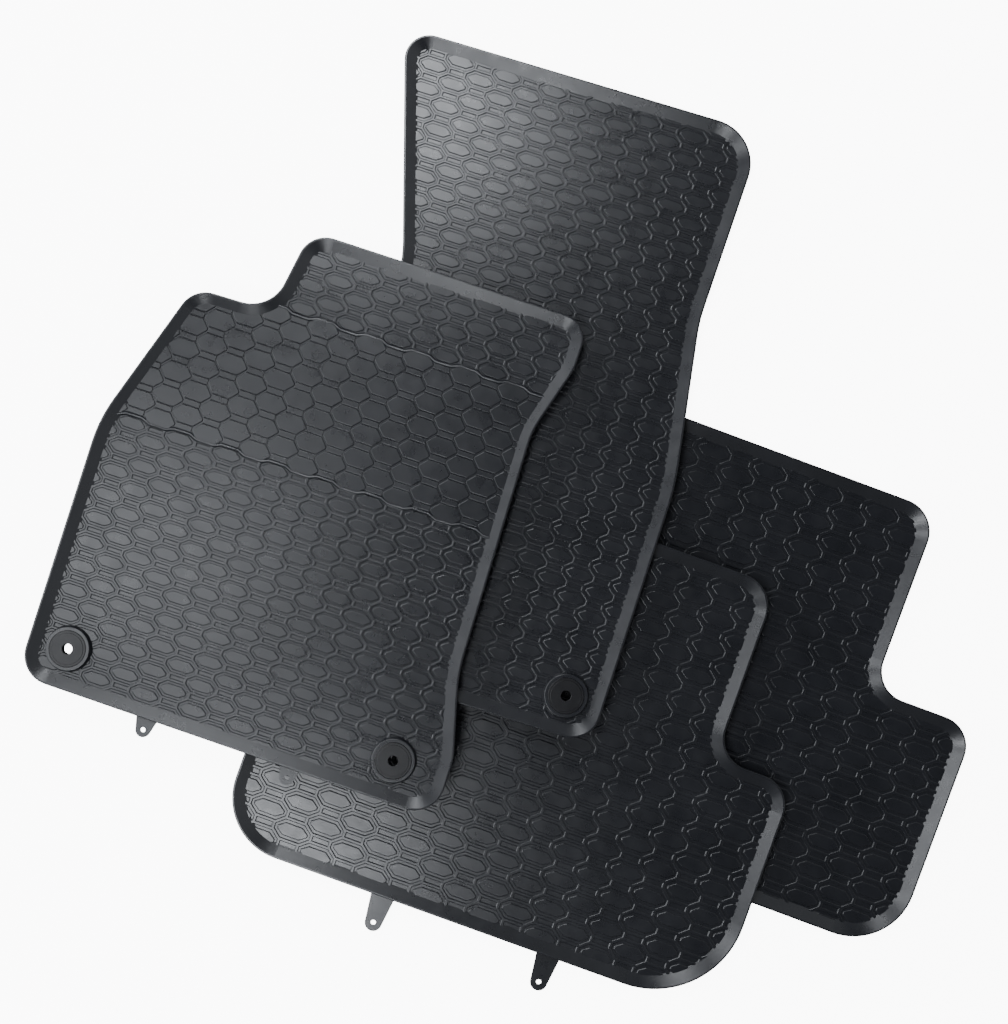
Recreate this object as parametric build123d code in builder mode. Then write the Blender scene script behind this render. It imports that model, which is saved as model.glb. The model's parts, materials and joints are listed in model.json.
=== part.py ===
from build123d import *
import os
from math import atan2, cos, degrees, radians, tan

# A set of four moulded rubber car floor mats, lying in a fanned pile.
# X runs across the mats, Y towards their front edges and Z up from the floor.
# The origin is on the floor, under the middle of the pile's box. Millimetres.

# ---- the moulded sheet and its rim -------------------------------------------------
SHEET = 2.4            # thickness of the tray floor, under the tread relief
RIM_HEIGHT = 10.0      # crest of the rim above the underside
RIM_WIDTH = 16.0       # from the outline to the foot of the inner slope
CREST = 2.4            # flat top of the rim
CREST_ROUND = 1.4      # rounding of the rim's outer edge
FLANGE_BOTTOM = 6.8    # height of the rim's free lower edge, which stands off the floor
FOOT_INSET = 15.2      # from the outline to the edge of the flat underside

# ---- rubber hubs that hold the fixings ---------------------------------------------
FIXING_REACH = 200.5   # from the middle of a front mat to each fixing
FIXING_SKEW = 2.0      # the driver's pair stands this much out of square
HUB_BASE = 56.0        # diameters of the raised hub
HUB_TOP = 51.0
HUB_HEIGHT = 9.0
HUB_ROUND = 1.0
HUB_ROOT = 1.2         # where the hub starts, inside the sheet
SEAT_DIAMETER = 43.4   # recess for the upper disc
SEAT_HEIGHT = 7.0
POCKET_DIAMETER = 39.0  # recess under the hub for the lower ring
POCKET_HEIGHT = 4.4
HUB_HOLE = 22.4        # hole in the web between the two recesses
CUT_START = 1.0        # the pocket is cut from this far below the underside

# ---- plastic fixings for the studs in the car floor ---------------------------------
DISC_DIAMETER = 43.0
DISC_HEIGHT = 9.3
DISC_CHAMFER = 0.6
BUTTON_DIAMETER = 37.0  # raised middle of the upper disc
BUTTON_HEIGHT = 9.8
BUTTON_CHAMFER = 0.3   # on the button's edge and the mouth of the bore
COLLAR_DIAMETER = 22.0
COLLAR_BOTTOM = 0.7
RIB_DIAMETER = 23.2    # rib at the foot of the collar that holds the lower ring
RIB_TOP = 1.5
STUD_BORE = 12.0       # bore that takes the floor stud
RING_DIAMETER = 38.4
RING_BORE = 22.2
RING_BOTTOM = 1.6
RING_TOP = 4.3
RING_CHAMFER = 0.5
RING_DIMPLES = 6
RING_DIMPLE_RADIUS = 2.2
RING_DIMPLE_DEPTH = 1.2
RING_DIMPLE_REACH = 15.1

# ---- hanging tabs on the rear edges ------------------------------------------------
TAB_THICKNESS = 2.0
TAB_ROOT = 15.0        # how far a tab runs in under the rim
FRONT_TAB = {"reach": 88.3, "width": 25.0, "tip": 8.8, "hole": 2.9, "length": 13.0}
PASSENGER_TAB_SHIFT = -12.0    # the passenger's pair of tabs is off centre by this much
REAR_TAB = {"reach": 105.3, "width": 29.5, "tip": 10.4, "hole": 3.1, "length": 34.5}
REAR_TAB_SHIFT = 3.4   # a rear mat's pair is off centre by this, towards its narrow notch

# ---- outlines: corners as (x, y, rounding) ------------------------------------------
DRIVER_REAR_Y = -47.5
DRIVER_CORNERS = [
    (-246.5, -44.5, 36),
    (267.0, -50.5, 36),
    (267.0, 22.0, 70),
    (241.0, 118.0, 200),
    (233.5, 415.0, 110),
    (257.5, 500.0, 60),
    (257.5, 559.0, 30),
    (-90.0, 557.5, 34),
    (-105.0, 452.5, 42),
    (-199.0, 450.0, 34),
    (-254.0, 268.0, 180),
]
PASSENGER_REAR_Y = -47.5
PASSENGER_CORNERS = [
    (-264.0, -49.0, 36),
    (246.0, -46.0, 34),
    (249.0, 275.0, 300),
    (217.0, 472.0, 180),
    (221.5, 712.5, 54),
    (-228.0, 702.0, 30),
    (-135.0, 408.0, 160),
]
REAR_HALF_WIDTH = 315.0
REAR_STEP_Y = 290.5
REAR_LEFT_LENGTH = 508.5
REAR_RIGHT_LENGTH = 519.0
REAR_LONG_NOTCH = 130.5    # width of the step on the outer side of the car
REAR_SHORT_NOTCH = 99.0    # and on the side of its middle
REAR_LONG_ROUND = 76.0
REAR_SHORT_ROUND = 112.0
REAR_STEP_ROUND = 37.0
REAR_TONGUE_ROUND = 40.0

# ---- the pile ------------------------------------------------------------------------
# where each mat's origin lies before the pile is centred: x, y and turn in degrees
DRIVER_PLACE = (-228.2, -316.4, 0.6)
PASSENGER_PLACE = (-61.0, -185.1, 1.1)
REAR_LEFT_PLACE = (114.3, -482.8, -0.8)
REAR_RIGHT_PLACE = (297.5, -343.9, -1.35)
LAY = 0.3              # play between two mats that lie on each other
PILE_CENTRE = (67.14, -0.16)  # middle of the pile's box, in the frame it was laid out in
FRONT_FOOT_Y = 513.4   # the leaning mats stand on the floor with their front edge here
TONGUE_TOP_Y = 27.0    # and lie on the tongue of the left rear mat here
LEAN = degrees(atan2(2 * (RIM_HEIGHT + LAY), FRONT_FOOT_Y - TONGUE_TOP_Y))


def lying(place, height, lean=0):
    """The plane of a mat's underside, at its place on the pile, with its height and lean."""
    x, y, turn = place
    origin = (x - PILE_CENTRE[0], y - PILE_CENTRE[1], height)
    return Plane(Location(origin, (-lean, 0, turn)))


def leaning(place, lift):
    """The same for a mat that leans on its front edge, lifted square to its plane."""
    run = FRONT_FOOT_Y - place[1]
    height = run * tan(radians(LEAN)) + lift / cos(radians(LEAN))
    return lying(place, height, LEAN)


driver_plane = leaning(DRIVER_PLACE, lift=RIM_HEIGHT + LAY)
passenger_plane = leaning(PASSENGER_PLACE, lift=0)
rear_left_plane = lying(REAR_LEFT_PLACE, RIM_HEIGHT + LAY)
rear_right_plane = lying(REAR_RIGHT_PLACE, 0)


def rear_corners(length, side):
    """Corners of a rear mat. side is 1 with the wide notch on the right, -1 on the left."""
    wide = REAR_HALF_WIDTH - REAR_LONG_NOTCH
    narrow = REAR_HALF_WIDTH - REAR_SHORT_NOTCH
    corners = [
        (REAR_HALF_WIDTH, 0, REAR_LONG_ROUND),
        (REAR_HALF_WIDTH, REAR_STEP_Y, REAR_STEP_ROUND),
        (wide, REAR_STEP_Y, REAR_STEP_ROUND),
        (wide, length, REAR_TONGUE_ROUND),
        (-narrow, length, REAR_TONGUE_ROUND),
        (-narrow, REAR_STEP_Y, REAR_STEP_ROUND),
        (-REAR_HALF_WIDTH, REAR_STEP_Y, REAR_STEP_ROUND),
        (-REAR_HALF_WIDTH, 0, REAR_SHORT_ROUND),
    ]
    return [(side * x, y, rounding) for x, y, rounding in corners][::side]


def outline_face(plane, corners, inset=0):
    """The face inside a rounded outline, moved in by inset."""
    with BuildSketch(plane) as face:
        with BuildLine():
            FilletPolyline(
                *[(x, y) for x, y, _ in corners],
                radius=[rounding for _, _, rounding in corners],
                close=True,
            )
        make_face()
        if inset:
            offset(amount=-inset, mode=Mode.REPLACE)
    return face.sketch


def round_face(plane, spot, diameter):
    """A round face about a spot on a plane."""
    with BuildSketch(plane) as face:
        with Locations(spot):
            Circle(diameter / 2)
    return face.sketch


def shell(plane, corners):
    """A tray with a sloping rim, whose free edge stands off the floor."""
    outer_taper = degrees(atan2(FOOT_INSET, FLANGE_BOTTOM))
    inner_taper = degrees(atan2(RIM_WIDTH - CREST, RIM_HEIGHT - SHEET))
    flange = outline_face(plane.offset(FLANGE_BOTTOM), corners)
    mouth = outline_face(plane.offset(RIM_HEIGHT), corners, CREST)
    down = -plane.z_dir
    up = Axis(plane.origin, plane.z_dir)
    with BuildPart() as tray:
        extrude(flange, RIM_HEIGHT - FLANGE_BOTTOM)
        fillet(tray.edges().group_by(up)[-1], CREST_ROUND)
        extrude(flange, FLANGE_BOTTOM, dir=down, taper=outer_taper)
        extrude(mouth, RIM_HEIGHT - SHEET, dir=down, taper=inner_taper, mode=Mode.SUBTRACT)
    return tray.part


def hub(plane, spot):
    """The raised rubber cone that holds a fixing, before it is hollowed."""
    height = HUB_HEIGHT - HUB_ROOT
    taper = degrees(atan2((HUB_BASE - HUB_TOP) / 2, height))
    up = Axis(plane.origin, plane.z_dir)
    with BuildPart() as cone:
        extrude(round_face(plane.offset(HUB_ROOT), spot, HUB_BASE), height, taper=taper)
        fillet(cone.edges().group_by(up)[-1], HUB_ROUND)
    return cone.part


def hub_hollow(plane, spot):
    """What is taken out of a hub: the seat, the pocket under it and the hole between."""
    with BuildPart() as hollow:
        extrude(round_face(plane.offset(SEAT_HEIGHT), spot, SEAT_DIAMETER), RIM_HEIGHT)
        bottom = plane.offset(-CUT_START)
        extrude(round_face(bottom, spot, POCKET_DIAMETER), POCKET_HEIGHT + CUT_START)
        extrude(round_face(plane, spot, HUB_HOLE), RIM_HEIGHT)
    return hollow.part


def hanging_tab(plane, x, edge_y, size):
    """A flat tongue that comes out from under the rim, with a hole near its tip."""
    eye = (x, edge_y - size["length"])
    with BuildPart() as tongue:
        with BuildSketch(plane) as blade:
            with Locations(eye):
                Circle(size["tip"])
            with Locations((x, edge_y + TAB_ROOT / 2)):
                Rectangle(size["width"], TAB_ROOT)
            make_hull()
            with Locations(eye):
                Circle(size["hole"], mode=Mode.SUBTRACT)
        extrude(amount=TAB_THICKNESS)
    return tongue.part


driver_spots = [(-FIXING_REACH, FIXING_SKEW), (FIXING_REACH, -FIXING_SKEW)]
passenger_spots = [(-FIXING_REACH, 0), (FIXING_REACH, 0)]
os.makedirs("parts", exist_ok=True)

# ---- driver's mat ------------------------------------------------------------------
with BuildPart() as driver_mat:
    add(shell(driver_plane, DRIVER_CORNERS))
    for spot in driver_spots:
        add(hub(driver_plane, spot))
        add(hub_hollow(driver_plane, spot), mode=Mode.SUBTRACT)
    for side in (-1, 1):
        add(hanging_tab(driver_plane, side * FRONT_TAB["reach"], DRIVER_REAR_Y, FRONT_TAB))
driver_mat.part.label = "driver_mat"
export_step(driver_mat.part, "parts/driver_mat.step")

# ---- passenger's mat ---------------------------------------------------------------
with BuildPart() as passenger_mat:
    add(shell(passenger_plane, PASSENGER_CORNERS))
    for spot in passenger_spots:
        add(hub(passenger_plane, spot))
        add(hub_hollow(passenger_plane, spot), mode=Mode.SUBTRACT)
    for side in (-1, 1):
        tab_x = side * FRONT_TAB["reach"] + PASSENGER_TAB_SHIFT
        add(hanging_tab(passenger_plane, tab_x, PASSENGER_REAR_Y, FRONT_TAB))
passenger_mat.part.label = "passenger_mat"
export_step(passenger_mat.part, "parts/passenger_mat.step")

# ---- left rear mat -----------------------------------------------------------------
with BuildPart() as rear_left_mat:
    add(shell(rear_left_plane, rear_corners(REAR_LEFT_LENGTH, -1)))
    for side in (-1, 1):
        tab_x = side * REAR_TAB["reach"] + REAR_TAB_SHIFT
        add(hanging_tab(rear_left_plane, tab_x, 0, REAR_TAB))
rear_left_mat.part.label = "rear_left_mat"
export_step(rear_left_mat.part, "parts/rear_left_mat.step")

# ---- right rear mat ----------------------------------------------------------------
with BuildPart() as rear_right_mat:
    add(shell(rear_right_plane, rear_corners(REAR_RIGHT_LENGTH, 1)))
    for side in (-1, 1):
        tab_x = side * REAR_TAB["reach"] - REAR_TAB_SHIFT
        add(hanging_tab(rear_right_plane, tab_x, 0, REAR_TAB))
rear_right_mat.part.label = "rear_right_mat"
export_step(rear_right_mat.part, "parts/rear_right_mat.step")

# ---- fixings: an upper disc with its collar, and the ring snapped on from below -----
fixings = [
    ("driver_left", driver_plane, driver_spots[0]),
    ("driver_right", driver_plane, driver_spots[1]),
    ("passenger_left", passenger_plane, passenger_spots[0]),
    ("passenger_right", passenger_plane, passenger_spots[1]),
]
for name, plane, spot in fixings:
    up = Axis(plane.origin, plane.z_dir)
    with BuildPart() as upper_disc:
        extrude(round_face(plane.offset(SEAT_HEIGHT), spot, DISC_DIAMETER), DISC_HEIGHT - SEAT_HEIGHT)
        chamfer(upper_disc.edges().group_by(up)[-1], DISC_CHAMFER)
        extrude(round_face(plane.offset(SEAT_HEIGHT), spot, BUTTON_DIAMETER), BUTTON_HEIGHT - SEAT_HEIGHT)
        extrude(round_face(plane.offset(COLLAR_BOTTOM), spot, COLLAR_DIAMETER), SEAT_HEIGHT - COLLAR_BOTTOM)
        extrude(round_face(plane.offset(COLLAR_BOTTOM), spot, RIB_DIAMETER), RIB_TOP - COLLAR_BOTTOM)
        extrude(round_face(plane, spot, STUD_BORE), RIM_HEIGHT, mode=Mode.SUBTRACT)
        chamfer(upper_disc.edges().group_by(up)[-1], BUTTON_CHAMFER)
    upper_disc.part.label = f"{name}_upper_disc"
    export_step(upper_disc.part, f"parts/{name}_upper_disc.step")

    with BuildPart() as lower_ring:
        extrude(round_face(plane.offset(RING_BOTTOM), spot, RING_DIAMETER), RING_TOP - RING_BOTTOM)
        chamfer(lower_ring.edges().group_by(up)[0], RING_CHAMFER)
        extrude(round_face(plane, spot, RING_BORE), RIM_HEIGHT, mode=Mode.SUBTRACT)
        with BuildSketch(plane.offset(RING_BOTTOM)):
            with Locations(spot):
                with PolarLocations(RING_DIMPLE_REACH, RING_DIMPLES):
                    Circle(RING_DIMPLE_RADIUS)
        extrude(amount=RING_DIMPLE_DEPTH, mode=Mode.SUBTRACT)
    lower_ring.part.label = f"{name}_lower_ring"
    export_step(lower_ring.part, f"parts/{name}_lower_ring.step")
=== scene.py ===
import json
from math import cos, radians, sin

import bpy
from mathutils import Matrix, Vector
from mathutils.geometry import delaunay_2d_cdt


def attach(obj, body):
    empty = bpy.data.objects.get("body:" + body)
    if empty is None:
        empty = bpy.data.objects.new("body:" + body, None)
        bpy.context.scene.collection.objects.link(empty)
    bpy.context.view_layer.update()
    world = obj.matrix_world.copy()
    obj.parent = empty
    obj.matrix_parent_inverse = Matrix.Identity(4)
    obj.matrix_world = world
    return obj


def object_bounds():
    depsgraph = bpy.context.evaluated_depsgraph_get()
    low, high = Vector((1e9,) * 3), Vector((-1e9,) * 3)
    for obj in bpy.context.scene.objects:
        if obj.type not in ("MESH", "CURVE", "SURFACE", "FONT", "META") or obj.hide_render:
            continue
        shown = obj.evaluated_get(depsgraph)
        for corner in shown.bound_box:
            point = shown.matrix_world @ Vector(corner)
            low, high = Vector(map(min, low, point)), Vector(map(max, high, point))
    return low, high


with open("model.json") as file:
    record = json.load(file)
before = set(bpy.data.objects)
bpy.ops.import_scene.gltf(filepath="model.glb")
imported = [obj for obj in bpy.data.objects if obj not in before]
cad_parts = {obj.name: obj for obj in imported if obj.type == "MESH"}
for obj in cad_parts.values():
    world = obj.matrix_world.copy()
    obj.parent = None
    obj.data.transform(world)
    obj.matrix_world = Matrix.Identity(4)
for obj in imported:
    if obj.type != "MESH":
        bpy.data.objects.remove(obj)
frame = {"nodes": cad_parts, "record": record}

# A pile of four moulded rubber floor mats. The CAD mats and fixings stay as they are
# and get materials. The raised tread on each tray floor is built here.
# Each mat has a frame of its own: x across it, y towards its front edge and z up from
# its underside, with the same origin as in the CAD model. Metres.

CAD_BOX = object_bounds()
MM = 0.001

# ---- what the tread fits ------------------------------------------------------------
FLOOR = 2.4 * MM           # top of the tray floor
TAB_HEIGHT = 1.0 * MM      # middle of a tab's thickness, where its hole is measured
OVERLAP = 4.2 * MM         # the tread runs in under the rim's slope by this much
HUB_OVERLAP = 0.8 * MM     # and in under the foot of a hub by this much

# ---- working accuracy -----------------------------------------------------------------
FLOOR_TOLERANCE = 0.01 * MM  # a face of the tray floor is within this of its height
STEPS_PER_METRE = 1e5      # the corners of the tray floor are told apart in steps of 0.01 mm
LEAST_SPACING = 0.4 * MM   # points of an outline closer than this are thinned out
TOUCH = 1e-7               # points closer than this count as one
ROW_HEIGHT = 4 * MM        # an outline's spans are sorted into rows of this height

# ---- section of the raised tread -----------------------------------------------------
RAISED = 3.4 * MM          # top of ridges and plateaus
SUNK = 2.36 * MM           # where their walls end, inside the tray floor
# a wall as (mm into the channel from its edge, mm down)
WALL = [(-0.6, 0.0), (-0.35, 0.08), (-0.05, 0.29), (0.3, 0.62), (0.6, 1.04)]
HEEL_RAISED = 4.2 * MM     # top of the tiles in the heel area
HEEL_GROOVE = 2.5 * MM     # width of the grooves along the tiles' long sides
HEEL_FLOOR = 3.1 * MM      # bottom of those grooves
# a tile's wall as (mm outwards from its top, mm down)
HEEL_WALL = [(0.0, 0.0), (0.25, 0.08), (0.55, 0.29), (1.05, 1.1)]
# the bead at each end of the heel area as (mm across, mm above the underside)
STEP_SECTION = [(-2.4, 3.0), (-1.6, 4.1), (-0.5, 5.0), (0.5, 5.0), (1.6, 4.1), (2.4, 3.0)]

# ---- plan of one cell, as shares of the pitch ------------------------------------------
HEX_HALF_WIDTH = 0.308
HEX_HALF_HEIGHT = 0.160
HEX_HALF_FLAT = 0.168
HEX_HALF_END = 0.044
BAR_HALF_LENGTH = 0.143
BAR_HALF_HEIGHT = 0.041
PLATEAU_HALF_WIDTH = 0.262
PLATEAU_HALF_HEIGHT = 0.105
PLATEAU_HALF_FLAT = 0.145
PLATEAU_HALF_END = 0.022
RIDGE = 0.049              # width of a ridge
TILE_HALF_HEIGHT = 0.165   # the heel area's tiles, and the strips between them
TILE_HALF_END = 0.012
STRIP_HALF_LENGTH = 0.165
REACH_ACROSS = 0.4         # no outline reaches further than this from its middle
REACH_ALONG = 0.25

# name: middle of its two tabs' holes in the mat's frame, pitch, and one cell's centre, mm
MATS = {
    "driver": {"tabs": (0.0, -60.5), "pitch": 59.2, "cell": (-128.83, 378.6)},
    "passenger": {"tabs": (-12.0, -60.5), "pitch": 58.8, "cell": (-93.0, 655.2)},
    "rear_left": {"tabs": (3.4, -34.5), "pitch": 71.4, "cell": (-158.5, 35.6)},
    "rear_right": {"tabs": (-3.4, -34.5), "pitch": 71.9, "cell": (-22.8, 457.2)},
}
HEEL_FROM_Y = 282.0 * MM   # the driver's heel area takes in the cells from here
HEEL_TO_Y = 460.0 * MM     # to here


# ======================================================================= the mats' frames
def mat_frame(name):
    """The matrix from a mat's own frame to the row frame, from its tabs' holes."""
    mounts = {m["name"]: m for m in frame["record"]["mounts"]}
    left = mounts[f"{name}_left_tab_hole"]
    right = mounts[f"{name}_right_tab_hole"]
    a = Vector(left["pos_m"])
    b = Vector(right["pos_m"])
    z = Vector(left["axis"]).normalized()
    if z.z < 0:
        z = -z
    x = (b - a).normalized()
    y = z.cross(x)
    tab_x, tab_y = MATS[name]["tabs"]
    origin = (a + b) / 2 - x * tab_x * MM - y * tab_y * MM - z * TAB_HEIGHT
    matrix = Matrix((x, y, z)).transposed().to_4x4()
    matrix.translation = origin
    return matrix


def floor_loops(name, matrix):
    """The loops round a mat's tray floor, read from the CAD mesh, in the mat's frame."""
    mesh = frame["nodes"][f"{name}_mat"].data
    to_local = matrix.inverted()
    local = [to_local @ v.co for v in mesh.vertices]
    used = {}
    for polygon in mesh.polygons:
        corners = [local[i] for i in polygon.vertices]
        if any(abs(c.z - FLOOR) > FLOOR_TOLERANCE for c in corners):
            continue
        keys = [(round(c.x * STEPS_PER_METRE), round(c.y * STEPS_PER_METRE)) for c in corners]
        for a, b in zip(keys, keys[1:] + keys[:1]):
            used[(a, b)] = used.get((a, b), 0) + 1
    following = {a: b for a, b in used if (b, a) not in used}
    loops = []
    while following:
        start, point = following.popitem()
        loop = [start]
        while point != start:
            loop.append(point)
            point = following.pop(point)
        loops.append([Vector((x / STEPS_PER_METRE, y / STEPS_PER_METRE)) for x, y in loop])
    return loops


def area(loop):
    """The signed area inside a loop, above zero when it runs anticlockwise."""
    return sum(a.cross(b) for a, b in zip(loop, loop[1:] + loop[:1])) / 2


def grown(loop, amount):
    """A loop moved to its right-hand side, which is out of the tray floor."""
    kept = []
    for point in loop:
        if not kept or (point - kept[-1]).length > LEAST_SPACING:
            kept.append(point)
    moved = []
    for before, here, after in zip(kept[-1:] + kept[:-1], kept, kept[1:] + kept[:1]):
        along = (after - before).normalized()
        moved.append(here + Vector((along.y, -along.x)) * amount)
    return moved


# ============================================================================== the tread
def octagon(half_width, half_height, half_flat, half_end):
    """An elongated hexagon with its two points cut off, anticlockwise."""
    return [
        Vector(p)
        for p in (
            (half_width, -half_end), (half_width, half_end),
            (half_flat, half_height), (-half_flat, half_height),
            (-half_width, half_end), (-half_width, -half_end),
            (-half_flat, -half_height), (half_flat, -half_height),
        )
    ]


def rectangle(half_width, half_height):
    """A rectangle about its middle, anticlockwise."""
    return [
        Vector(p)
        for p in (
            (half_width, -half_height), (half_width, half_height),
            (-half_width, half_height), (-half_width, -half_height),
        )
    ]


def inset(polygon, amount):
    """A convex polygon with every side moved in by amount."""
    count = len(polygon)
    lines = []
    for a, b in zip(polygon, polygon[1:] + polygon[:1]):
        along = (b - a).normalized()
        normal = Vector((along.y, -along.x))
        lines.append((normal, normal.dot(a) - amount))
    result = []
    for i in range(count):
        (n1, d1), (n2, d2) = lines[i - 1], lines[i]
        turn = n1.x * n2.y - n1.y * n2.x
        result.append(Vector(((d1 * n2.y - d2 * n1.y) / turn, (n1.x * d2 - n2.x * d1) / turn)))
    return result


def depth_in(polygon, point):
    """How far a point is inside a convex polygon, below zero outside it."""
    depth = 1.0
    for a, b in zip(polygon, polygon[1:] + polygon[:1]):
        along = (b - a).normalized()
        depth = min(depth, along.x * (point.y - a.y) - along.y * (point.x - a.x))
    return depth


def drop(section, distance):
    """How far a wall has come down at a distance in from its top edge."""
    distance = distance / MM
    for (x1, z1), (x2, z2) in zip(section, section[1:]):
        if distance <= x2:
            share = max(0.0, distance - x1) / (x2 - x1)
            return (z1 + (z2 - z1) * share) * MM
    return section[-1][1] * MM


class Tread:
    """The relief of one mat's tread: where its rings of points are, and how high it is."""

    def __init__(self, pitch, cell, heel=None):
        self.pitch = pitch
        self.cell = cell
        self.heel = heel
        p = pitch
        self.hexagon = octagon(
            HEX_HALF_WIDTH * p, HEX_HALF_HEIGHT * p, HEX_HALF_FLAT * p, HEX_HALF_END * p)
        self.plateau = octagon(
            PLATEAU_HALF_WIDTH * p, PLATEAU_HALF_HEIGHT * p,
            PLATEAU_HALF_FLAT * p, PLATEAU_HALF_END * p)
        self.bar = rectangle(BAR_HALF_LENGTH * p, BAR_HALF_HEIGHT * p)
        self.tile = octagon(
            HEX_HALF_WIDTH * p, TILE_HALF_HEIGHT * p, HEX_HALF_FLAT * p, TILE_HALF_END * p)
        self.strip = rectangle(
            STRIP_HALF_LENGTH * p, p / 4 - TILE_HALF_HEIGHT * p - HEEL_GROOVE)
        # in the heel area a cell runs out to the middle of the ridge round it
        self.tile_edge = inset(self.hexagon, -RIDGE * p / 2)
        self.strip_edge = inset(self.bar, -RIDGE * p / 2)

    def centre(self, column, row):
        """A hexagon's centre. Every other column stands a quarter of a pitch higher."""
        x = self.cell[0] + column * self.pitch / 2
        y = self.cell[1] + row * self.pitch / 2 + (column % 2) * self.pitch / 4
        return Vector((x, y))

    def in_heel(self, y):
        """Whether a cell at this y is one of the heel area's."""
        return self.heel is not None and self.heel[0] < y < self.heel[1]

    def rings(self, column, row):
        """The rings of points of one cell and of the bar above it."""
        middle = self.centre(column, row)
        above = middle + Vector((0, self.pitch / 4))
        found = []
        for place, is_hexagon in ((middle, True), (above, False)):
            heel = self.in_heel(place.y)
            if heel:
                top = self.tile if is_hexagon else self.strip
                edge = self.tile_edge if is_hexagon else self.strip_edge
                outlines = [edge] + [inset(top, -x * MM) for x, _ in HEEL_WALL]
            elif is_hexagon:
                outlines = [inset(self.hexagon, x * MM) for x, _ in WALL]
                outlines += [inset(self.plateau, -x * MM) for x, _ in WALL]
            else:
                outlines = [inset(self.bar, x * MM) for x, _ in WALL]
            found += [[place + q for q in outline] for outline in outlines]
        return found

    def near(self, point):
        """The middles of the hexagons and bars round a point, and whether each is a hexagon."""
        column = round((point.x - self.cell[0]) / (self.pitch / 2))
        for c in (column - 1, column, column + 1):
            offset = (c % 2) * self.pitch / 4
            row = round((point.y - self.cell[1] - offset) / (self.pitch / 2))
            for r in (row - 1, row, row + 1):
                middle = self.centre(c, r)
                yield middle, True
                yield middle + Vector((0, self.pitch / 4)), False

    def height(self, point):
        """How high the relief is at a point of the mat's frame."""
        lowest = RAISED
        tallest = None
        for place, is_hexagon in self.near(point):
            q = point - place
            if abs(q.x) > self.pitch * REACH_ACROSS or abs(q.y) > self.pitch * REACH_ALONG:
                continue
            if self.in_heel(place.y):
                edge = self.tile_edge if is_hexagon else self.strip_edge
                if depth_in(edge, q) < -TOUCH:
                    continue
                top = self.tile if is_hexagon else self.strip
                outside = max(0.0, -depth_in(top, q))
                z = max(HEEL_FLOOR, HEEL_RAISED - drop(HEEL_WALL, outside))
                tallest = z if tallest is None else max(tallest, z)
                continue
            outline = self.hexagon if is_hexagon else self.bar
            depth = depth_in(outline, q)
            if depth <= WALL[0][0] * MM:
                continue
            z = RAISED - drop(WALL, depth)
            if is_hexagon:
                outside = -depth_in(self.plateau, q)
                z = max(z, RAISED - drop(WALL, outside))
            lowest = min(lowest, z)
        return tallest if tallest is not None else lowest


def floor_outlines(name, matrix):
    """The outline that a mat's tread is cut to and its holes, run in under the rubber."""
    outer = None
    holes = []
    for loop in floor_loops(name, matrix):
        if area(loop) > 0:
            outer = grown(loop, OVERLAP)
        else:
            holes.append(grown(loop, HUB_OVERLAP))
    return outer, holes


def inside_test(loops):
    """A function that says whether a point is inside the loops, by counting crossings."""
    rows = {}
    for loop in loops:
        for a, b in zip(loop, loop[1:] + loop[:1]):
            lowest = int(min(a.y, b.y) // ROW_HEIGHT)
            highest = int(max(a.y, b.y) // ROW_HEIGHT)
            for key in range(lowest, highest + 1):
                rows.setdefault(key, []).append((a, b))

    def inside(point):
        crossings = 0
        for a, b in rows.get(int(point.y // ROW_HEIGHT), []):
            if (a.y > point.y) != (b.y > point.y):
                x = a.x + (point.y - a.y) / (b.y - a.y) * (b.x - a.x)
                crossings += x > point.x
        return crossings % 2 == 1

    return inside


def tread_mesh(name, matrix, tread):
    """The relief cut to the tray floor's outline, as one sheet with its edges buried."""
    points = []
    edges = []

    def add_loop(loop):
        first = len(points)
        points.extend(loop)
        count = len(loop)
        edges.extend((first + i, first + (i + 1) % count) for i in range(count))

    outer, holes = floor_outlines(name, matrix)
    faces_in = [list(range(len(outer)))]
    add_loop(outer)
    for hole in holes:
        add_loop(hole)
    low_x = min(p.x for p in outer)
    high_x = max(p.x for p in outer)
    low_y = min(p.y for p in outer)
    high_y = max(p.y for p in outer)
    half = tread.pitch / 2
    first_column = int((low_x - tread.cell[0]) / half) - 2
    last_column = int((high_x - tread.cell[0]) / half) + 2
    first_row = int((low_y - tread.cell[1]) / half) - 2
    last_row = int((high_y - tread.cell[1]) / half) + 2
    for column in range(first_column, last_column + 1):
        for row in range(first_row, last_row + 1):
            for ring in tread.rings(column, row):
                add_loop(ring)
    found = delaunay_2d_cdt(points, edges, faces_in, 0, TOUCH)
    vertices, triangles = found[0], found[2]
    inside = inside_test([outer] + holes)
    kept = []
    for corners in triangles:
        middle = sum((vertices[i] for i in corners), Vector((0, 0))) / len(corners)
        if inside(middle):
            kept.append(list(corners))
    order = {}
    for corners in kept:
        for i in corners:
            order.setdefault(i, len(order))
    places = [None] * len(order)
    for i, new in order.items():
        v = vertices[i]
        places[new] = matrix @ Vector((v.x, v.y, max(SUNK, tread.height(v))))
    mesh = bpy.data.meshes.new(f"{name}_tread")
    mesh.from_pydata(places, [], [[order[i] for i in corners] for corners in kept])
    mesh.validate()
    mesh.update()
    return mesh


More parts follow.
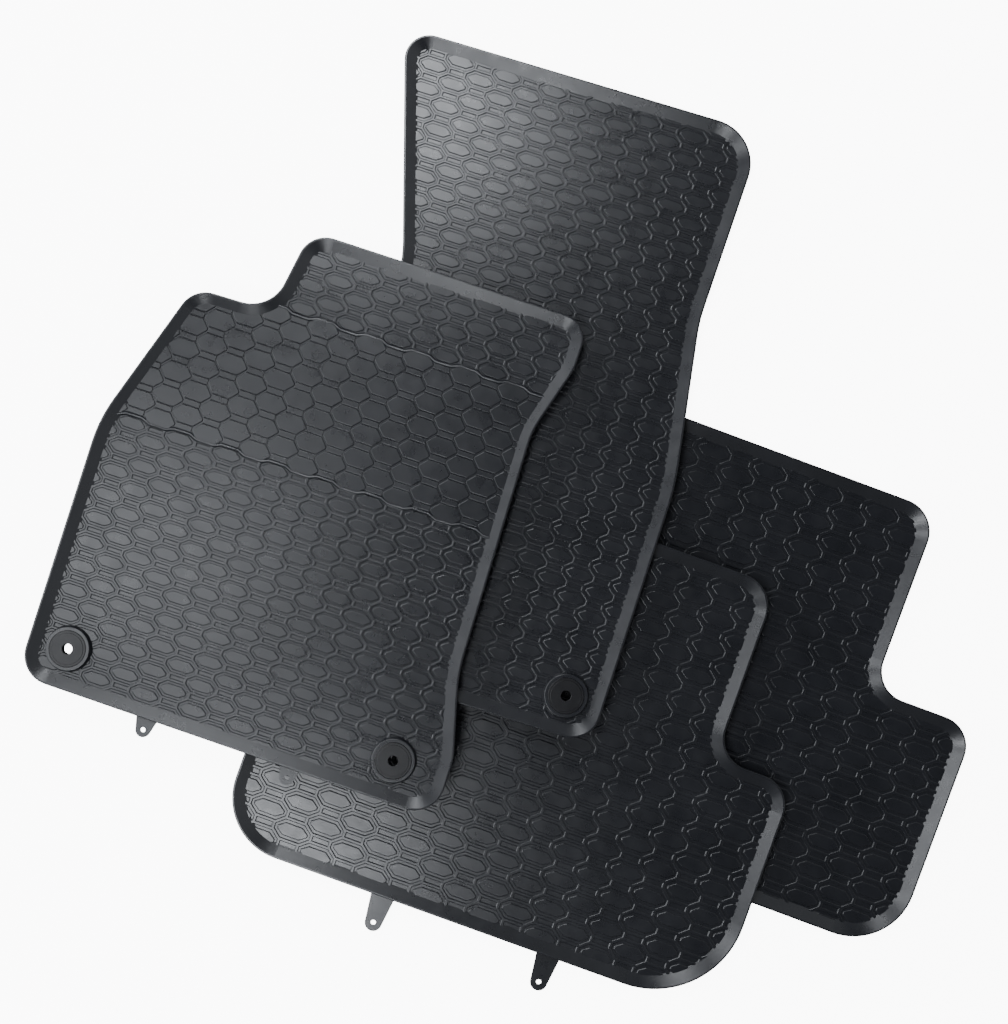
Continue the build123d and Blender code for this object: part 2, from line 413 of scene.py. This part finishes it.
def step_path(tread, y, outline):
    """The zig-zag along the cells' edges at a height y, from one side of the floor to the other."""
    spans = zip(outline, outline[1:] + outline[:1])
    sides = [a.lerp(b, (y - a.y) / (b.y - a.y)).x for a, b in spans if (a.y > y) != (b.y > y)]
    low, high = min(sides), max(sides)
    half = tread.pitch / 2
    flat = HEX_HALF_FLAT * tread.pitch
    path = []
    for column in range(int((low - tread.cell[0]) / half) - 2, int((high - tread.cell[0]) / half) + 3):
        middle = tread.centre(column, 0)
        row = (y - middle.y) / half
        nearest = middle.y + round(row) * half
        side = 1 if nearest < y else -1
        edge = nearest + side * HEX_HALF_HEIGHT * tread.pitch
        path += [Vector((middle.x - flat, edge)), Vector((middle.x + flat, edge))]
    kept = [p for p in path if low < p.x < high]
    first = path.index(kept[0])
    last = path.index(kept[-1])
    for end, inner, outer in ((low, path[first], path[first - 1]), (high, path[last], path[last + 1])):
        point = inner.lerp(outer, (end - inner.x) / (outer.x - inner.x))
        kept.insert(0 if end == low else len(kept), point)
    return kept


def swept(name, path, section, matrix):
    """A bead with an open underside: a section of (across, height) in mm, carried along a path."""
    rows = []
    for before, here, after in zip(path[:1] + path, path, path[1:] + path[-1:]):
        incoming = (here - before).normalized() if here != before else (after - here).normalized()
        outgoing = (after - here).normalized() if after != here else incoming
        along = (incoming + outgoing).normalized()
        across = Vector((-along.y, along.x)) / max(0.5, along.dot(outgoing))
        rows.append([here + across * x * MM for x, _ in section])
    places = [matrix @ Vector((q.x, q.y, z * MM)) for row in rows for q, (_, z) in zip(row, section)]
    count = len(section)
    faces = []
    for i in range(len(path) - 1):
        for j in range(count - 1):
            a = i * count + j
            faces.append((a, a + count, a + count + 1, a + 1))
    mesh = bpy.data.meshes.new(name)
    mesh.from_pydata(places, [], faces)
    mesh.update()
    return mesh


# ============================================================================ materials
NOISE_LOW = 0.3            # where a noise's spread starts and ends
NOISE_HIGH = 0.7
CLOUD = (14.0, 4.0)        # noise for the tone: scale and detail
SMEAR = (55.0, 5.0)        # for the gloss
GRAIN_DETAIL = 3.0
GRAIN_STRENGTH = 0.5


def new_material(name):
    """A new material with its nodes, links and shader."""
    material = bpy.data.materials.new(name)
    material.use_nodes = True
    nodes = material.node_tree.nodes
    return material, nodes, material.node_tree.links, nodes["Principled BSDF"]


def noise(nodes, links, coordinates, scale, detail):
    """A noise in the object's own space."""
    node = nodes.new("ShaderNodeTexNoise")
    node.inputs["Scale"].default_value = scale
    node.inputs["Detail"].default_value = detail
    links.new(coordinates.outputs["Object"], node.inputs["Vector"])
    return node


def ramp(nodes, links, source, low, high):
    """A colour that follows a noise, from low to high."""
    node = nodes.new("ShaderNodeValToRGB")
    node.color_ramp.elements[0].position = NOISE_LOW
    node.color_ramp.elements[1].position = NOISE_HIGH
    node.color_ramp.elements[0].color = (*low, 1)
    node.color_ramp.elements[1].color = (*high, 1)
    links.new(source, node.inputs["Fac"])
    return node


def spread(nodes, links, source, low, high):
    """A number that follows a noise, from low to high."""
    node = nodes.new("ShaderNodeMapRange")
    node.inputs["From Min"].default_value = NOISE_LOW
    node.inputs["From Max"].default_value = NOISE_HIGH
    node.inputs["To Min"].default_value = low
    node.inputs["To Max"].default_value = high
    links.new(source, node.inputs["Value"])
    return node


def moulded(name, dark, light, roughness, grain_scale, grain_height, specular):
    """A moulded black surface: uneven tone and gloss, under a fine grain."""
    material, nodes, links, shader = new_material(name)
    coordinates = nodes.new("ShaderNodeTexCoord")
    cloud = noise(nodes, links, coordinates, *CLOUD)
    fine = noise(nodes, links, coordinates, grain_scale, GRAIN_DETAIL)
    smear = noise(nodes, links, coordinates, *SMEAR)
    tone = ramp(nodes, links, cloud.outputs["Fac"], dark, light)
    links.new(tone.outputs["Color"], shader.inputs["Base Color"])
    gloss = spread(nodes, links, smear.outputs["Fac"], *roughness)
    links.new(gloss.outputs["Result"], shader.inputs["Roughness"])
    bump = nodes.new("ShaderNodeBump")
    bump.inputs["Strength"].default_value = GRAIN_STRENGTH
    bump.inputs["Distance"].default_value = grain_height
    links.new(fine.outputs["Fac"], bump.inputs["Height"])
    links.new(bump.outputs["Normal"], shader.inputs["Normal"])
    shader.inputs["Specular IOR Level"].default_value = specular
    return material


RUBBER = moulded(
    "mat_rubber", dark=(0.006, 0.0066, 0.0085), light=(0.010, 0.0106, 0.013), roughness=(0.26, 0.32),
    grain_scale=1500.0, grain_height=0.00007, specular=0.5)
DISC = moulded(
    "disc_plastic", dark=(0.005, 0.005, 0.0058), light=(0.008, 0.008, 0.009), roughness=(0.30, 0.38),
    grain_scale=2600.0, grain_height=0.00008, specular=0.3)
RING = moulded(
    "ring_plastic", dark=(0.020, 0.020, 0.021), light=(0.030, 0.030, 0.031), roughness=(0.38, 0.48),
    grain_scale=900.0, grain_height=0.00004, specular=0.5)


def dress(obj, material):
    """Gives an object one material in all its slots."""
    if obj.data.materials:
        for i in range(len(obj.data.materials)):
            obj.data.materials[i] = material
    else:
        obj.data.materials.append(material)


for node, obj in frame["nodes"].items():
    if node.endswith("_mat"):
        dress(obj, RUBBER)
    elif node.endswith("_upper_disc"):
        dress(obj, DISC)
    else:
        dress(obj, RING)

# ============================================================================ the treads
def add_rubber(mesh, body):
    """A piece of the mat's rubber, which rides with it."""
    piece = bpy.data.objects.new(mesh.name, mesh)
    bpy.context.scene.collection.objects.link(piece)
    dress(piece, RUBBER)
    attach(piece, body)


for name, facts in MATS.items():
    matrix = mat_frame(name)
    cell = (facts["cell"][0] * MM, facts["cell"][1] * MM)
    heel = (HEEL_FROM_Y, HEEL_TO_Y) if name == "driver" else None
    tread = Tread(facts["pitch"] * MM, cell, heel)
    add_rubber(tread_mesh(name, matrix, tread), name)
    if heel:
        floor = max(floor_loops(name, matrix), key=area)
        for end, y in (("rear", HEEL_FROM_Y), ("front", HEEL_TO_Y)):
            path = step_path(tread, y, grown(floor, OVERLAP))
            bead = swept(f"{name}_heel_{end}_step", path, STEP_SECTION, matrix)
            for polygon in bead.polygons:
                polygon.use_smooth = True
            add_rubber(bead, name)

# ====================================================================== floor and lights
LOW, HIGH = CAD_BOX
MIDDLE = (LOW + HIGH) / 2
CAMERA_HEIGHT = 1.5
CAMERA_ROLL = radians(19.0)
CAMERA_SHIFT = (-0.06714, 0.00016)  # from the middle of the pile to under the camera
CAMERA_LENS = 44.36        # mm
SENSOR = 36.0              # mm

FLOOR_HALF = 6.0           # half the studio floor's side
FLOOR_DROP = 0.0004        # the floor lies this far under the mats
FLOOR_WHITE = 0.9
FLOOR_ROUGHNESS = 0.9
FLOOR_GLOW = 9.0
BACKDROP = 9.0             # brightness of the room where the camera sees it
LIGHT_TINT = (0.93, 0.96, 1.0)

# name, place and aim as the camera sees them (right, up, height), size and power
LIGHTS = [
    ("front_left_softbox", (-0.32, 1.38, 2.0), (-0.05, 0.5, 0.0), (0.8, 0.6), 34),
    ("left_softbox", (-1.75, 0.2, 3.2), (-0.45, 0.0, 0.0), (0.9, 2.0), 44),
    ("rear_left_softbox", (-0.72, -0.97, 2.0), (-0.26, -0.38, 0.0), (0.7, 0.6), 24),
]

# The room: heights are the upward share of a direction, from 0 at the horizon to 1.
# Each part has a strength, the direction that it is brightest in, in degrees anticlockwise
# from the camera's right, the share that way where it starts and is full, and its
# brightness by height.
ROOM = [
    ("all_round", 0.25, 0, (-1.0, -0.99), [(0.0, 0.05), (0.1, 0.3), (0.3, 1.0), (0.6, 1.0), (0.8, 0.1)]),
    ("low_left", 8.5, 162, (0.45, 0.95), [(0.0, 1.0), (0.3, 1.0), (0.48, 0.0)]),
    ("right", 0.8, 0, (0.3, 0.6), [(0.3, 0.0), (0.45, 1.0), (0.8, 1.0), (0.88, 0.0)]),
]


def studio_floor():
    """A plain pale floor. Only the camera sees it, so it neither lights nor shades the mats."""
    half = FLOOR_HALF
    mesh = bpy.data.meshes.new("studio_floor")
    corners = [(-half, -half, 0), (half, -half, 0), (half, half, 0), (-half, half, 0)]
    mesh.from_pydata(corners, [], [(0, 1, 2, 3)])
    obj = bpy.data.objects.new("studio_floor", mesh)
    bpy.context.scene.collection.objects.link(obj)
    obj.location.z = -FLOOR_DROP
    material, _, _, shader = new_material("studio_floor")
    shader.inputs["Base Color"].default_value = (FLOOR_WHITE, FLOOR_WHITE, FLOOR_WHITE, 1)
    shader.inputs["Roughness"].default_value = FLOOR_ROUGHNESS
    shader.inputs["Specular IOR Level"].default_value = 0.0
    shader.inputs["Emission Color"].default_value = (1, 1, 1, 1)
    shader.inputs["Emission Strength"].default_value = FLOOR_GLOW
    mesh.materials.append(material)
    obj.visible_diffuse = False
    obj.visible_glossy = False
    obj.visible_shadow = False


def on_image(right, up, height):
    """A place given by how far it is to the right and up as the camera sees it."""
    x = MIDDLE.x + CAMERA_SHIFT[0] + right * cos(CAMERA_ROLL) - up * sin(CAMERA_ROLL)
    y = MIDDLE.y + CAMERA_SHIFT[1] + right * sin(CAMERA_ROLL) + up * cos(CAMERA_ROLL)
    return Vector((x, y, height))


def softbox(name, place, aim, width, height, power):
    """A rectangular light that shines from its place to its aim."""
    light = bpy.data.lights.new(name, "AREA")
    light.shape = "RECTANGLE"
    light.size = width
    light.size_y = height
    light.energy = power
    light.color = LIGHT_TINT
    obj = bpy.data.objects.new(name, light)
    bpy.context.scene.collection.objects.link(obj)
    obj.location = place
    obj.rotation_euler = (aim - place).to_track_quat("-Z", "Y").to_euler()
    obj.visible_camera = False


def room_part(nodes, links, strength, towards, side, heights):
    """A background shader that is bright in one direction and one band of heights."""
    direction = nodes.new("ShaderNodeTexCoord")
    turned = nodes.new("ShaderNodeMapping")
    turned.inputs["Rotation"].default_value = (0, 0, -CAMERA_ROLL - radians(towards))
    links.new(direction.outputs["Generated"], turned.inputs["Vector"])
    split = nodes.new("ShaderNodeSeparateXYZ")
    links.new(turned.outputs["Vector"], split.inputs["Vector"])
    across = nodes.new("ShaderNodeMapRange")
    across.inputs["From Min"].default_value = side[0]
    across.inputs["From Max"].default_value = side[1]
    across.inputs["To Max"].default_value = strength
    links.new(split.outputs["X"], across.inputs["Value"])
    band = nodes.new("ShaderNodeValToRGB")
    while len(band.color_ramp.elements) < len(heights):
        band.color_ramp.elements.new(0.5)
    for element, (height, share) in zip(band.color_ramp.elements, heights):
        element.position = height
        element.color = (*[share * c for c in LIGHT_TINT], 1)
    links.new(split.outputs["Z"], band.inputs["Fac"])
    shader = nodes.new("ShaderNodeBackground")
    links.new(band.outputs["Color"], shader.inputs["Color"])
    links.new(across.outputs["Result"], shader.inputs["Strength"])
    return shader


def studio_room():
    """The room that the mats reflect, with a plain backdrop where the camera sees it."""
    world = bpy.data.worlds.new("studio_world")
    bpy.context.scene.world = world
    world.use_nodes = True
    nodes = world.node_tree.nodes
    links = world.node_tree.links
    total = nodes["Background"]
    total.inputs["Strength"].default_value = 0.0
    for name, strength, towards, side, heights in ROOM:
        part = room_part(nodes, links, strength, towards, side, heights)
        part.label = name
        both = nodes.new("ShaderNodeAddShader")
        links.new(total.outputs[0], both.inputs[0])
        links.new(part.outputs[0], both.inputs[1])
        total = both
    seen = nodes.new("ShaderNodeBackground")
    seen.inputs["Color"].default_value = (*LIGHT_TINT, 1)
    seen.inputs["Strength"].default_value = BACKDROP
    rays = nodes.new("ShaderNodeLightPath")
    choice = nodes.new("ShaderNodeMixShader")
    links.new(rays.outputs["Is Camera Ray"], choice.inputs["Fac"])
    links.new(total.outputs[0], choice.inputs[1])
    links.new(seen.outputs[0], choice.inputs[2])
    links.new(choice.outputs[0], nodes["World Output"].inputs["Surface"])


def overhead_camera():
    """The camera, straight above the pile."""
    camera_data = bpy.data.cameras.new("camera")
    camera_data.sensor_fit = "HORIZONTAL"
    camera_data.sensor_width = SENSOR
    camera_data.lens = CAMERA_LENS
    camera = bpy.data.objects.new("camera", camera_data)
    bpy.context.scene.collection.objects.link(camera)
    camera.location = on_image(0, 0, CAMERA_HEIGHT)
    camera.rotation_euler = (0, 0, CAMERA_ROLL)
    bpy.context.scene.camera = camera


studio_floor()
for name, place, aim, size, power in LIGHTS:
    softbox(name, on_image(*place), on_image(*aim), *size, power)
studio_room()
overhead_camera()
